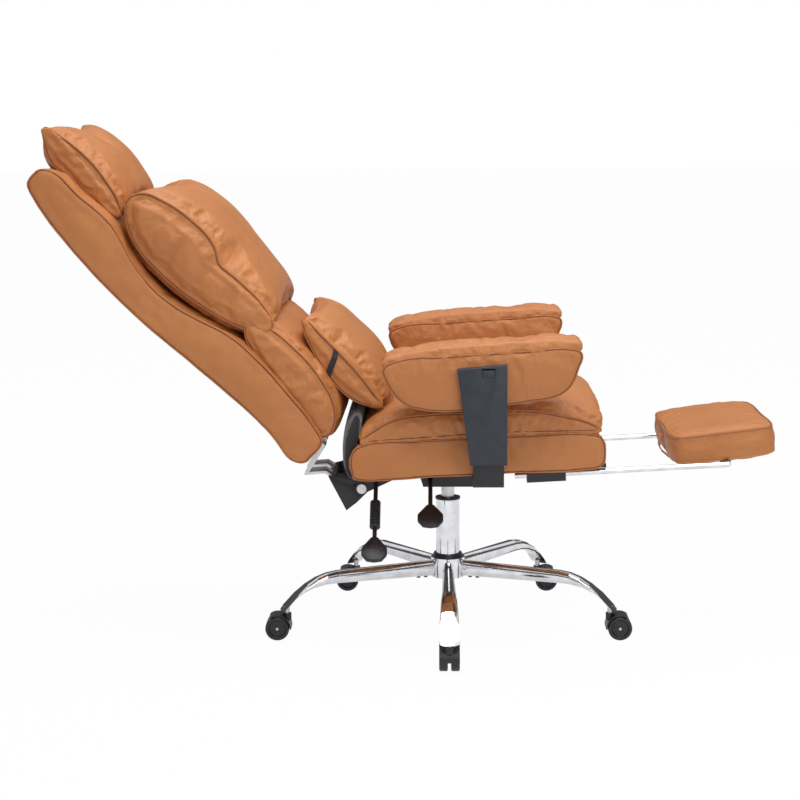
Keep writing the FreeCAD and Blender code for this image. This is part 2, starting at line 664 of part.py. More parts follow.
def make_mechanism():
    """Pressed steel box round the gas lift's taper, its flange, and the cheeks that carry the pivot."""
    thick = size("mech_flange_thickness")
    rear = -size("mech_flange_rear")
    front = size("mech_front")
    flange_edge = [(rear, -thick), (front + 12, -thick), (front + 12, 0), (rear, 0)]
    flange = prism("flange", [on_seat(*p) for p in flange_edge], "mech_flange_width")
    bottom = size("mech_bottom")
    back_top = on_seat(-size("mech_rear"), -thick / 2)
    front_top = on_seat(front, -thick / 2)
    shell_edge = [(-size("mech_rear") + 18, bottom), (front - 18, bottom), front_top, back_top]
    shell = prism("shell", shell_edge, "mech_width")
    px, pz = PIVOT
    ring = size("cheek_round")
    cheek_edge = [on_seat(rear + 40, -thick / 2), on_seat(rear + 3, -thick / 2), (px - ring, pz), (px - 4, pz - ring)]
    cheek_edge += [(px + ring, pz - 6), on_seat(-size("mech_rear"), -thick * 4)]
    cheeks = []
    for across in (-1, 1):
        y = across * (size("mech_flange_width") - size("cheek_thickness")) / 2
        cheeks.append(prism("cheek_%d" % len(cheeks), cheek_edge, "cheek_thickness", place=at(0, y, 0)))
    solid = fuse("mechanism_solid", [flange, shell] + cheeks)
    socket = cylinder("lift_socket", "lift_cylinder_radius", "socket_depth", at(0, 0, bottom))
    room = cylinder("valve_room", "valve_pin_radius * 2", "valve_pin_length", at(0, 0, bottom + size("socket_depth")))
    slot = size("lever_radius") + size("slide_fit")
    lever_room = box(
        "lever_room",
        "( lever_radius + slide_fit ) * 2",
        "mech_width / 2 - lever_root + slide_fit * 4",
        "( lever_radius + slide_fit + lever_lift_room ) * 2",
        at(
            size("lever_x") - slot,
            -size("mech_width") / 2 - size("slide_fit"),
            size("lever_root_z") - slot - size("lever_lift_room"),
        ),
    )
    head = size("pivot_head_height")
    half = size("mech_flange_width") / 2
    pin = cylinder("pin_shank", "pivot_radius", "mech_flange_width", along_y(px, half, pz))
    caps = [
        cylinder("pin_cap_0", "pivot_head_radius", "pivot_head_height", along_y(px, half + head, pz)),
        cylinder("pin_cap_1", "pivot_head_radius", "pivot_head_height", along_y(px, -half, pz)),
    ]
    keep("recline_pivot_pin", fuse("pivot_pin", [pin] + caps))
    holes = fuse("mechanism_holes", [socket, room, lever_room, pin, NODES["seat_bolts"]])
    keep("mechanism_housing", cut("mechanism", solid, holes))


# Footrest


def rod_point(along):
    return on_seat(along, -size("rod_drop"))


ROD_REAR = size("footrest_travel") - size("seat_rear") + size("rod_rear_room")


def rod_place(y):
    x, z = rod_point(ROD_REAR)
    return Placement(Vector(x, y, z), Rotation(Vector(0, 1, 0), 90 - size("seat_tilt")))


def make_footrest():
    spread = size("rod_spread")
    rods = []
    for across in (-1, 1):
        rods.append(cylinder("rod_%d" % len(rods), "rod_radius", "rod_front - %f" % ROD_REAR, rod_place(across * spread)))
    bar_x, bar_z = rod_point(size("rod_front"))
    bar = cylinder("cross_bar", "rod_radius", "rod_spread * 2", along_y(bar_x, spread, bar_z))
    keep("footrest_frame", fuse("frame", rods + [bar]))
    rear = size("guide_rear")
    front = rear + size("guide_length")
    drop = -size("rod_drop")
    below = drop - size("rod_radius") - size("guide_wall")
    block_edge = [(rear, below), (front, below), (front, 0), (rear, 0)]
    strip_low = drop + size("rod_radius") + size("channel_gap")
    tip = size("channel_front")
    strip = [(ROD_REAR, strip_low), (tip, strip_low), (tip, strip_low + size("channel_height"))]
    strip += [(ROD_REAR, strip_low + size("channel_height"))]
    pad_edge = [(tip - 30, strip_low), (tip - 6, strip_low), (tip - 6, 0), (tip - 30, 0)]
    guides = []
    for across in (-1, 1):
        name = "guide_%d" % len(guides)
        spot = at(0, across * spread, 0)
        outlines = (("_block", block_edge), ("_channel", strip), ("_foot", pad_edge))
        solids = [prism(name + part, [on_seat(*p) for p in edge], "guide_width", place=spot) for part, edge in outlines]
        bore = cylinder(name + "_bore", "rod_radius + running_fit", "rod_front", rod_place(across * spread))
        guides.append(cut(name, fuse(name + "_solid", solids), bore))
    keep("footrest_guides", group("guide_pair", guides))
    tilt = size("foot_pad_tilt")
    stand = size("foot_pad_stand")
    behind = -size("foot_pad_rear")
    ahead = size("foot_pad_front")
    high = stand + size("foot_pad_height")
    bend = size("foot_pad_round")
    edge = [(behind, stand + bend), (behind + bend, stand), (ahead - bend, stand), (ahead, stand + bend)]
    edge += [(ahead, high - bend), (ahead - bend, high), (behind + bend, high), (behind, high - bend)]
    pad = prism("pad_block", [tilted(bar_x, bar_z, tilt, *p) for p in edge], "foot_pad_width")
    keep("footrest_pad", pad)
    ring = size("lug_radius")
    lug_edge = [(-ring, stand), (ring, stand), (ring, -3), (5, -ring), (-5, -ring), (-ring, -3)]
    room = cylinder("lug_bore", "rod_radius + running_fit", "rod_spread * 2", along_y(bar_x, spread, bar_z))
    lugs = []
    for across in (-1, 1):
        spot = at(0, across * size("lug_spread"), 0)
        name = "lug_%d" % len(lugs)
        lug = prism(name + "_plate", [tilted(bar_x, bar_z, tilt, *p) for p in lug_edge], "lug_thickness", place=spot)
        lugs.append(cut(name, lug, room))
    keep("footrest_brackets", group("lug_pair", lugs))
    out = size("pull_strap_drop")
    thick = size("pull_strap_thickness")
    low = stand + bend
    loop = [(behind, low), (behind - out, low - 6), (behind - out - thick, low - 6), (behind - out - thick, low + 12)]
    loop += [(behind, low + 16), (behind, low + 16 - thick), (behind - out, low + 10), (behind - out, low - 3)]
    loop += [(behind, low + thick)]
    strap = prism("strap_loop", [tilted(bar_x, bar_z, tilt, *p) for p in loop], "pull_strap_width")
    keep("footrest_pull_strap", strap)


# Backrest


def make_back_core():
    length = size("back_length")
    foot = size("back_foot_depth")
    bend = size("back_foot_round")
    hollow = size("back_hollow")
    lumbar = size("back_lumbar_at")
    waist = size("back_waist_at")
    shoulder = size("back_shoulder_at")
    forward = size("back_top_forward")
    outline = [(bend / 3, 0), (lumbar * 0.6, 3), (lumbar * 1.3, -hollow / 3), (size("back_hollow_at"), -hollow)]
    outline += [(length * 0.87, -hollow / 4), (length, forward), (length, forward + size("back_top_depth"))]
    outline += [(shoulder, size("back_shoulder_depth") - hollow + 3), (waist, size("back_waist_depth") - hollow)]
    outline += [(lumbar, size("back_lumbar_depth")), (lumbar / 3, foot + 14), (bend, foot), (0, foot - bend)]
    block = prism("slab_block", [on_back(*p) for p in outline], "back_width")
    low = size("back_board_from")
    high = low + size("back_board_length")
    rear = size("back_board_cover")
    front = rear + size("board_thickness")
    board_edge = [(low, rear), (high, rear), (high, front), (low, front)]
    board = prism("back_board_block", [on_back(*p) for p in board_edge], "back_board_width")
    px, pz = PIVOT
    thick = size("strap_thickness")
    run = size("strap_length")
    middle = front + thick / 2
    path = [(px - 54, pz + 15), (px - 77, pz + 30), (px - 116, pz + 27), on_back(-20, middle)]
    path.append(on_back(low + run, middle))
    bend = ribbon(path, thick)
    straps = []
    bolts = []
    for across in (-1, 1):
        y = across * size("strap_spread")
        straps.append(prism("strap_%d" % len(straps), bend, "strap_width", place=at(0, y, 0)))
        for step in range(2):
            along = size("back_bolt_first") + step * size("back_bolt_pitch")
            x, z = on_back(along, rear + 2)
            turn = Rotation(Vector(0, 1, 0), 90 - size("back_lean"))
            stem = "back_bolt_%d" % len(bolts)
            spot = Placement(Vector(x, y, z), turn)
            bolts.append(cylinder(stem, "bolt_radius", "board_thickness + strap_thickness", spot))
    keep("back_bolts", group("back_bolt_set", bolts))
    keep("back_straps", cut("strap_pair", group("strap_set", straps), NODES["back_bolts"]))
    keep("back_board", cut("back_board_drilled", board, NODES["back_bolts"]))
    inside = fuse("back_inside", [board] + straps + bolts)
    keep("back_slab", cut("slab", block, inside))
    return block


def make_back_bracket():
    """U-shaped bracket on the pivot pin, between the cheeks of the mechanism."""
    px, pz = PIVOT
    edge = [(px - 70, pz + 22), (px - 42, pz + 29), (px + 8, pz + 14), (px + 14, pz - 8), (px - 11, pz - 33)]
    edge += [(px - 33, pz - 50)]
    outer = prism("bracket_block", edge, "bracket_width")
    wall = size("bracket_wall")
    inner_edge = [(px - 70 + wall * 2, pz + 40), (px + 40, pz + 40), (px + 40, pz - 60), (px - 33 + wall * 2, pz - 60)]
    inner = prism("bracket_room", inner_edge, "bracket_width - bracket_wall * 2")
    bore = cylinder("bracket_bore", "pivot_radius + running_fit", "mech_flange_width", along_y(px, 90, pz))
    tools = fuse("bracket_tools", [inner, bore, NODES["back_straps"]])
    keep("back_bracket", cut("bracket", outer, tools))


def make_back_cushions(slab):
    front = size("lower_cushion_front")
    top = size("lower_cushion_top")
    foot = size("lower_cushion_foot")
    belly = size("lower_cushion_belly_at")
    lower = [(4, 40), (8, foot - 12), (belly / 3, foot + 20), (belly, front), (belly + 90, front + 1)]
    lower += [(top - 26, front - 10), (top - 4, front - 26), (top, front - 50), (top - 30, 50)]
    lower_block = prism("lower_cushion_block", [on_back(*p) for p in lower], "pillow_width")
    low = size("upper_pillow_foot")
    high = size("upper_pillow_top")
    out = size("upper_pillow_front")
    start = size("upper_pillow_foot_front")
    span = high - low
    upper = [(low, start), (low + span * 0.1, start + 12), (low + span * 0.28, out - 14), (low + span * 0.5, out)]
    upper += [(low + span * 0.7, out + 2), (high - 45, out - 14), (high - 10, out - 32), (high, out - 62)]
    upper += [(high - 12, 70), (low + span * 0.6, 30), (low + 60, 60), (low + 10, start - 22)]
    upper_block = prism("upper_pillow_block", [on_back(*p) for p in upper], "pillow_width")
    neck = size("head_pillow_foot")
    crown = size("head_pillow_top")
    face = size("head_pillow_front")
    ear = size("head_pillow_ear")
    head = [(neck, 60), (neck, ear - 4), (neck + 40, face - 8), (crown - 96, face), (crown - 20, ear + 6)]
    head += [(crown, ear), (crown - 24, 84), (crown - 54, 66), (neck + 60, 60)]
    head_block = prism("head_pillow_block", [on_back(*p) for p in head], "head_pillow_width")
    keep("lower_back_cushion", cut("lower_cushion", lower_block, slab))
    covered = fuse("upper_pillow_room", [slab, lower_block])
    keep("upper_back_pillow", cut("upper_pillow", upper_block, covered))
    keep("head_pillow", cut("head", head_block, fuse("head_room", [slab, upper_block])))


def make_lumbar_pillow():
    """Loose pillow in front of the lower cushion; its rear face lies along its own slide."""
    low = size("lumbar_foot")
    high = size("lumbar_top")
    out = size("lumbar_front")
    slope = math.tan(math.radians(size("lumbar_slope")))
    contact = size("lower_cushion_front") + size("soft_gap")

    def rear(along):
        return along, contact + slope * (along - size("lower_cushion_belly_at"))

    outline = [rear(low + 55), rear(high), (high + 3, out - 38), (high - 36, out - 20), (high - 92, out)]
    outline += [(low + 75, out), (low + 36, out - 8), (low, out - 46)]
    keep("lumbar_pillow", prism("lumbar_block", [on_back(*p) for p in outline], "lumbar_width"))


# Arms


def on_arm(along, up):
    return tilted(size("arm_centre_x"), size("arm_bottom_z"), size("seat_tilt"), along, up)


def make_arm(side, across):
    """Height-adjustable arm: a post on the seat, a sleeve that slides on it, a trigger and a pad."""
    rear = -size("arm_rear")
    front = size("arm_front")
    high = size("arm_height")
    hull = [(rear, high - 25), (rear + 4, high - 48), (rear + 24, high - 94), (rear + 62, 12), (-40, 0), (20, 0)]
    hull += [(78, 3), (front - 69, 14), (front - 25, 51), (front, high - 24), (front - 6, high - 8)]
    hull += [(front - 22, high - 2), (-50, high + 2), (rear + 38, high - 10), (rear + 8, high - 18)]
    inner = size("arm_inner")
    width = size("arm_width")
    middle = across * (inner + width / 2)
    flank = prism(side + "_arm_flank", [on_arm(*p) for p in hull], "arm_width", place=at(0, middle, 0))
    half = width / 2
    x0 = size("arm_centre_x")
    plan = [(x0 + rear - 14, -half * 0.55), (x0 + rear + 30, -half), (x0 + front - 36, -half)]
    plan += [(x0 + front + 10, -half * 0.55), (x0 + front + 10, half * 0.55), (x0 + front - 36, half)]
    plan += [(x0 + rear + 30, half), (x0 + rear - 14, half * 0.55)]
    deck = prism(side + "_arm_plan", plan, "arm_bottom_z * 3", False, "XY_Plane", at(0, middle, 0))
    keep("arm_pad_" + side, common(side + "_pad", [flank, deck]))
    outer = inner + width
    thick = size("sleeve_thickness")
    sleeve_middle = across * (outer + thick / 2)
    top = size("sleeve_top")
    long_half = size("sleeve_top_length") / 2
    foot_half = size("sleeve_foot_length") / 2
    foot_z = size("sleeve_foot_z")
    sleeve_edge = [on_arm(8 - long_half, top - 4), on_arm(8 + long_half, top), (x0 + 16 + foot_half, foot_z)]
    sleeve_edge += [(x0 + 16 - foot_half, foot_z)]
    sleeve = prism(side + "_sleeve_block", sleeve_edge, "sleeve_thickness", place=at(0, sleeve_middle, 0))
    post_x = x0 + 16
    post_half = size("post_length") / 2
    plate = size("post_plate_thickness")
    post_bottom = on_seat(post_x - post_half, 0)[1] - plate - 2
    post = box(
        side + "_post_bar",
        "post_length",
        "post_thickness",
        "post_top_z - %f" % post_bottom,
        at(post_x - post_half, sleeve_middle - size("post_thickness") / 2, post_bottom),
    )
    room = box(
        side + "_post_room",
        "post_length + slide_fit * 2",
        "post_thickness + slide_fit * 2",
        "post_top_z + arm_travel / 10 - %f" % (foot_z - 1),
        at(
            post_x - post_half - size("slide_fit"),
            sleeve_middle - size("post_thickness") / 2 - size("slide_fit"),
            foot_z - 1,
        ),
    )
    reach = outer + thick / 2 + size("post_thickness") / 2 - size("post_plate_reach")
    plate_middle = across * (size("post_plate_reach") + reach / 2)
    shelf_edge = [on_seat(post_x - post_half, -plate), on_seat(post_x + post_half, -plate)]
    shelf_edge += [on_seat(post_x + post_half, 0), on_seat(post_x - post_half, 0)]
    shelf = prism(side + "_shelf", shelf_edge, "%f" % reach, place=at(0, plate_middle, 0))
    keep("arm_post_" + side, fuse(side + "_post", [post, shelf]))
    trigger_x, trigger_top = on_arm(8, top - size("trigger_drop"))
    trigger_z = trigger_top - size("trigger_height")
    depth = size("trigger_depth")
    face = outer + thick - depth
    trigger_y = face if across > 0 else -face - depth
    gap = size("slide_fit")
    trigger = box(
        side + "_trigger",
        "trigger_length",
        "trigger_depth",
        "trigger_height",
        at(trigger_x, trigger_y, trigger_z),
    )
    pocket = box(
        side + "_trigger_room",
        "trigger_length + slide_fit * 2",
        "trigger_depth + slide_fit * 2",
        "trigger_height + trigger_travel + slide_fit * 2",
        at(trigger_x - gap, trigger_y - gap, trigger_z - gap),
    )
    keep("arm_trigger_" + side, trigger)
    keep("arm_sleeve_" + side, cut(side + "_sleeve", sleeve, fuse(side + "_sleeve_room", [room, pocket])))


# Levers


def rod_between(label, start, end, radius="lever_radius"):
    span = (Vector(*end) - Vector(*start)).Length
    return cylinder(label, radius, "%f" % span, pointing(start, end))


def paddle(label, start, lead):
    """Rounded paddle that carries on the rod's line, from the rod's end."""
    direction = (Vector(*start) - Vector(*lead)).normalize()
    length = size("paddle_length")
    half = size("paddle_width") / 2
    outline = [(-7, 0), (7, 0), (half, length * 0.45), (half, length * 0.72), (half * 0.6, length * 0.96)]
    outline += [(0, length), (-half * 0.6, length * 0.96), (-half, length * 0.72), (-half, length * 0.45)]
    across = Vector(1, 0, 0)
    normal = across.cross(direction)
    place = Placement(Vector(*start), Rotation(across, direction, normal, "ZXY"))
    return prism(label, outline, "paddle_thickness", False, "XY_Plane", place)


def make_levers():
    x = size("lever_x")
    root = (x, -size("lever_root"), size("lever_root_z"))
    bend = (x, -size("lever_bend_y"), size("lever_bend_z"))
    tip = (x, -size("lever_tip_y"), size("lever_tip_z"))
    knee = doc.addObject("Part::Sphere", "lever_knee")
    knee.setExpression("Radius", formula("lever_radius"))
    knee.Placement = at(*bend)
    rod = fuse("height_rod", [rod_between("height_rod_in", root, bend), rod_between("height_rod_out", bend, tip), knee])
    keep("height_lever_rod", rod)
    keep("height_lever_paddle", cut("height_paddle", paddle("height_paddle_block", tip, bend), rod))
    rx = size("recline_lever_x")
    start = (rx, -size("recline_root_y"), size("recline_root_z"))
    end = (rx, -size("recline_tip_y"), size("recline_tip_z"))
    long_rod = rod_between("recline_rod", start, end)
    keep("recline_lever_rod", long_rod)
    keep("recline_lever_paddle", cut("recline_paddle", paddle("recline_paddle_block", end, start), long_rod))
    direction = (Vector(*end) - Vector(*start)).normalize()
    first = Vector(*start) + direction * size("lever_sleeve_start")
    sleeve = cylinder(
        "sleeve_block", "lever_sleeve_radius", "lever_sleeve_length", pointing(tuple(first), end)
    )
    keep("recline_lever_sleeve", cut("lever_sleeve", sleeve, long_rod))


make_hub()
make_legs()
make_gas_lift()
for caster in leg_numbers():
    make_caster(caster)
make_seat()
make_mechanism()
make_footrest()
make_back_cushions(make_back_core())
make_back_bracket()
make_lumbar_pillow()
make_arm("right", -1)
make_arm("left", 1)
make_levers()
doc.recompute()

for item in doc.Objects:
    if "Invalid" in item.State or "Error" in item.State:
        raise RuntimeError("%s failed" % item.Label)
for node, piece in NODES.items():
    if piece.Shape.isNull() or not piece.Shape.isValid() or not piece.Shape.Solids:
        raise RuntimeError("%s has no valid solid" % node)

os.makedirs("parts", exist_ok=True)
for node, piece in NODES.items():
    piece.Shape.exportStep("parts/%s.step" % node)
    box_now = piece.Shape.BoundBox
    print(
        "%-24s %d solids  x %.0f..%.0f  y %.0f..%.0f  z %.0f..%.0f"
        % (
            node,
            len(piece.Shape.Solids),
            box_now.XMin,
            box_now.XMax,
            box_now.YMin,
            box_now.YMax,
            box_now.ZMin,
            box_now.ZMax,
        )
    )
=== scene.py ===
import json
import math

import bmesh
import bpy
from mathutils import Matrix, Vector
from mathutils.bvhtree import BVHTree
from mathutils.kdtree import KDTree
from mathutils.noise import noise


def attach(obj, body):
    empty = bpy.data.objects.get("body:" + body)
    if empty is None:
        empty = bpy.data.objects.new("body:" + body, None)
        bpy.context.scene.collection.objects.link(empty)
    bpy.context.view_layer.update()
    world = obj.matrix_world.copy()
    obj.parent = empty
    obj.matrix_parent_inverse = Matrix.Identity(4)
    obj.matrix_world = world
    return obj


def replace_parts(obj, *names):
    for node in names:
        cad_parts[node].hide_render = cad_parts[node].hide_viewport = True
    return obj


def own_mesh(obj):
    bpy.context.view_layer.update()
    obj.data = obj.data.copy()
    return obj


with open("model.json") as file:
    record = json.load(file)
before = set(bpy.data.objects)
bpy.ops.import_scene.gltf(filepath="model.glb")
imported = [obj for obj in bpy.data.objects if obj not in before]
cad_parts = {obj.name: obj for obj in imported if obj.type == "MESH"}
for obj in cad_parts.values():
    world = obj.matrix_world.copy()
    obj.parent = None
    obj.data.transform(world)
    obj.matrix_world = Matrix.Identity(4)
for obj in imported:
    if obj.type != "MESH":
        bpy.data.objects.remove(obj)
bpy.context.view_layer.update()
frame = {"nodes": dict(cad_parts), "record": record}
record = frame["record"]

MM = 0.001


# Materials


class Value:
    """A socket of a material. Sums written with it add Math nodes."""

    def __init__(self, finish, socket):
        self.finish = finish
        self.socket = socket

    def sum(self, operation, first, second):
        return self.finish.node("Math", {0: first, 1: second}, operation=operation)

    def __add__(self, other):
        return self.sum("ADD", self, other)

    def __radd__(self, other):
        return self.sum("ADD", other, self)

    def __sub__(self, other):
        return self.sum("SUBTRACT", self, other)

    def __rsub__(self, other):
        return self.sum("SUBTRACT", other, self)

    def __mul__(self, other):
        return self.sum("MULTIPLY", self, other)

    def __rmul__(self, other):
        return self.sum("MULTIPLY", other, self)

    def __abs__(self):
        return self.sum("ABSOLUTE", self, 0)


class Graph:
    """The nodes of a material or of the world."""

    def __init__(self, tree):
        self.tree = tree

    def feed(self, socket, value):
        if isinstance(value, Value):
            self.tree.links.new(value.socket, socket)
        else:
            socket.default_value = value

    def node(self, kind, inputs=None, output=0, **settings):
        made = self.tree.nodes.new("ShaderNode" + kind)
        for setting, value in settings.items():
            setattr(made, setting, value)
        for socket, value in (inputs or {}).items():
            self.feed(made.inputs[socket], value)
        return Value(self, made.outputs[output])

    def spread(self, value, low, high, first=0.0, last=1.0):
        """A value stretched so that low becomes the first number and high the last."""
        ends = {"Value": value, "From Min": low, "From Max": high, "To Min": first, "To Max": last}
        return self.node("MapRange", ends)


class Finish(Graph):
    """A material in the making, round one Principled shader."""

    def __init__(self, name, **sockets):
        self.material = bpy.data.materials.new(name)
        self.material.use_nodes = True
        super().__init__(self.material.node_tree)
        self.shader = self.tree.nodes["Principled BSDF"]
        for socket, value in sockets.items():
            self.set(socket.replace("_", " "), value)

    def set(self, socket, value):
        self.feed(self.shader.inputs[socket], value)

    def place(self, stretch=(1, 1, 1)):
        spot = self.node("TexCoord", output="Object")
        return self.node("Mapping", {"Vector": spot, "Scale": stretch})

    def noise(self, scale, detail=2, stretch=(1, 1, 1), distortion=0):
        inputs = {"Vector": self.place(stretch), "Scale": scale, "Detail": detail, "Distortion": distortion}
        return self.node("TexNoise", inputs)

    def between(self, share, first, second):
        """Two colours mixed by a share."""
        inputs = {0: share, 6: (*first, 1), 7: (*second, 1)}
        return self.node("Mix", inputs, output=2, data_type="RGBA")

    def bump(self, *layers):
        """Height layers, each with its depth in metres, stacked into the normal."""
        normal = None
        for height, depth in layers:
            inputs = {"Height": height, "Distance": depth, "Strength": 1.0}
            if normal:
                inputs["Normal"] = normal
            normal = self.node("Bump", inputs)
        self.set("Normal", normal)


def leather(name, tone, shade, crease=0.0016):
    finish = Finish(name, Specular_IOR_Level=0.42)
    mottle = finish.spread(finish.noise(7, 5), 0.3, 0.7)
    finish.set("Base Color", finish.between(mottle, tone, shade))
    pores = finish.node("TexVoronoi", {"Vector": finish.place(), "Scale": 620.0})
    fine = finish.noise(240, 3)
    folds = finish.spread(abs(finish.noise(26, 2, distortion=0.8) - 0.5), 0, 0.12)
    soft = finish.noise(11, 2)
    finish.set("Roughness", 0.42 + 0.16 * finish.noise(60, 3))
    finish.bump((soft, crease * 2), (folds, crease * 0.3), (pores, 0.00018), (fine, 0.00018))
    return finish.material


def plain(name, tone, roughness, grain=0.0001, scale=900, metallic=0.0, vary=0.08):
    """Moulded plastic, paint or steel: a tone with a little wear and a fine grain."""
    finish = Finish(name, Metallic=metallic)
    wear = finish.noise(40, 4)
    lighter = [min(1, c * 1.35 + 0.004) for c in tone]
    finish.set("Base Color", finish.between(finish.spread(wear, 0.35, 0.8), tone, lighter))
    finish.set("Roughness", roughness - vary / 2 + vary * wear)
    finish.bump((finish.noise(scale, 2), grain))
    return finish.material


def woven(name, tone):
    finish = Finish(name, Roughness=0.85, Sheen_Weight=0.3)
    threads = [
        finish.node("TexWave", {"Vector": finish.place(stretch), "Scale": 260.0, "Distortion": 0.4})
        for stretch in ((1, 0, 0), (0, 1, 0), (0, 0, 1))
    ]
    weave = threads[0] * 0.5 + threads[1] * 0.5 + threads[2] * 0.5
    finish.set("Base Color", finish.between(weave, tone, [c * 2.2 for c in tone]))
    finish.bump((weave, 0.0004))
    return finish.material


TAN = (0.50, 0.190, 0.058)
TAN_SHADE = (0.44, 0.158, 0.046)
FINISHES = {
    "chrome": plain("chrome", (0.66, 0.67, 0.70), 0.10, 0.00001, 300, 1.0, 0.05),
    "steel": plain("steel", (0.55, 0.55, 0.56), 0.3, 0.00002, 700, 1.0),
    "bolt_steel": plain("black_bolt", (0.02, 0.02, 0.022), 0.38, metallic=0.4),
    "pin_steel": plain("pin_steel", (0.5, 0.5, 0.5), 0.32, metallic=1.0),
    "black_metal": plain("black_paint", (0.012, 0.012, 0.015), 0.4, 0.00008, 600),
    "black_plastic": plain("black_plastic", (0.010, 0.010, 0.013), 0.42),
    "arm_plastic": plain("arm_plastic", (0.017, 0.021, 0.032), 0.46, 0.00012, 1100),
    "caster_plastic": plain("caster_plastic", (0.010, 0.010, 0.014), 0.36),
    "board": plain("plywood", (0.55, 0.38, 0.22), 0.7, 0.0002, 200),
    "leather_panel": leather("leather_panel", TAN, TAN_SHADE, 0.0006),
    "leather_cushion": leather("leather_cushion", TAN, TAN_SHADE),
    "black_fabric": woven("black_fabric", (0.012, 0.011, 0.012)),
}
# Welt leather a little darker than the panels: painted shade along the seams, as the welts are of the same leather.
SHADED_WELT = leather("leather_welt_painted_shade", (0.43, 0.155, 0.046), (0.36, 0.122, 0.036), 0.0003)
# Near-black brown for the thin lines inside the welts and along the dart: painted shade of the seam grooves.
SEAM_SHADE_LINE = plain("seam_groove_painted_shade", (0.13, 0.036, 0.011), 0.7, 0.0002, 900)

for entry in record["subparts"]:
    node = frame["nodes"][entry["node"]]
    node.data.materials.clear()
    node.data.materials.append(FINISHES[entry["material_slot"]])


# Shapes


LEAN = math.radians(44.3)
BACK_FOOT = Vector((-0.295, 0, 0.395))
UP_THE_BACK = Vector((-math.sin(LEAN), 0, math.cos(LEAN)))
OUT_OF_BACK = Vector((math.cos(LEAN), 0, math.sin(LEAN)))
TILT = math.radians(3)
ALONG_SEAT = Vector((math.cos(TILT), 0, math.sin(TILT)))
OFF_SEAT = Vector((-math.sin(TILT), 0, math.cos(TILT)))
ACROSS = Vector((0, 1, 0))


def axes(origin, first, second, third):
    """A matrix that puts millimetres along three directions at a point."""
    turn = Matrix((first, second, third)).transposed().to_4x4()
    return Matrix.Translation(origin) @ turn @ Matrix.Scale(MM, 4)


ON_BACK = axes(BACK_FOOT, UP_THE_BACK, OUT_OF_BACK, ACROSS)
ON_SEAT = axes((0, 0, 0.375), ALONG_SEAT, OFF_SEAT, ACROSS)


def piece(name, mesh, finish, body):
    """A new mesh object that rides on a body."""
    made = bpy.data.objects.new(name, mesh)
    bpy.context.scene.collection.objects.link(made)
    mesh.materials.clear()
    mesh.materials.append(finish)
    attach(made, body)
    return made


def spline_mesh(points, closed=True, corners=(), steps=8, thickness=0.0):
    """A smooth line through the points as a mesh, or a tube round it."""
    curve = bpy.data.curves.new("line", "CURVE")
    curve.dimensions = "3D"
    curve.resolution_u = steps
    curve.bevel_depth = thickness
    curve.bevel_resolution = 3
    curve.use_fill_caps = True
    line = curve.splines.new("BEZIER")
    line.bezier_points.add(len(points) - 1)
    line.use_cyclic_u = closed
    for knot, spot in zip(line.bezier_points, points):
        knot.co = spot
    for n, knot in enumerate(line.bezier_points):
        knot.handle_left_type = knot.handle_right_type = "VECTOR" if n in corners else "AUTO"
    holder = bpy.data.objects.new("line", curve)
    mesh = bpy.data.meshes.new_from_object(holder)
    bpy.data.objects.remove(holder)
    return mesh


def outline(points, corners=(), steps=8):
    """Points of a smooth closed outline, in the plane that it is drawn in."""
    mesh = spline_mesh([(p[0], p[1], 0) for p in points], corners=corners, steps=steps)
    return [v.co.copy() for v in mesh.vertices]


def inset(points, distance):
    """The outline moved inwards."""
    moved = []
    centre = sum(points, Vector()) / len(points)
    for before, here, after in zip(points[-1:] + points[:-1], points, points[1:] + points[:1]):
        run = (after - before).normalized()
        side = Vector((-run.y, run.x, 0))
        if side.dot(centre - here) < 0:
            side.negate()
        moved.append(here + side * distance)
    return moved


def mesh_from(name, bm):
    """The mesh that a bmesh holds."""
    mesh = bpy.data.meshes.new(name)
    bm.to_mesh(mesh)
    bm.free()
    return mesh


def band(sections):
    """A strip through its cross-sections, closed at both ends."""
    bm = bmesh.new()
    loops = []
    for corners in sections:
        verts = [bm.verts.new(corner) for corner in corners]
        loops.append([bm.edges.new(pair) for pair in zip(verts, verts[1:] + verts[:1])])
    for first, second in zip(loops, loops[1:]):
        bmesh.ops.bridge_loops(bm, edges=first + second)
    for loop in (loops[0], loops[-1]):
        bmesh.ops.holes_fill(bm, edges=loop)
    bmesh.ops.recalc_face_normals(bm, faces=bm.faces)
    return bm


# Cushions: what is to be blown up, what is sewn on it, and what gets a mesh of its own after sewing
SWELLING = []
SEWN = []
SQUEEZED = {}
SEWN_REACH = 0.011
CLOTH_STEPS = 20
SECTIONS = 22
SEAM_SHADE_INSET = 3.6
FOLD_REACH = 0.055
FOLD_PITCH = 0.017


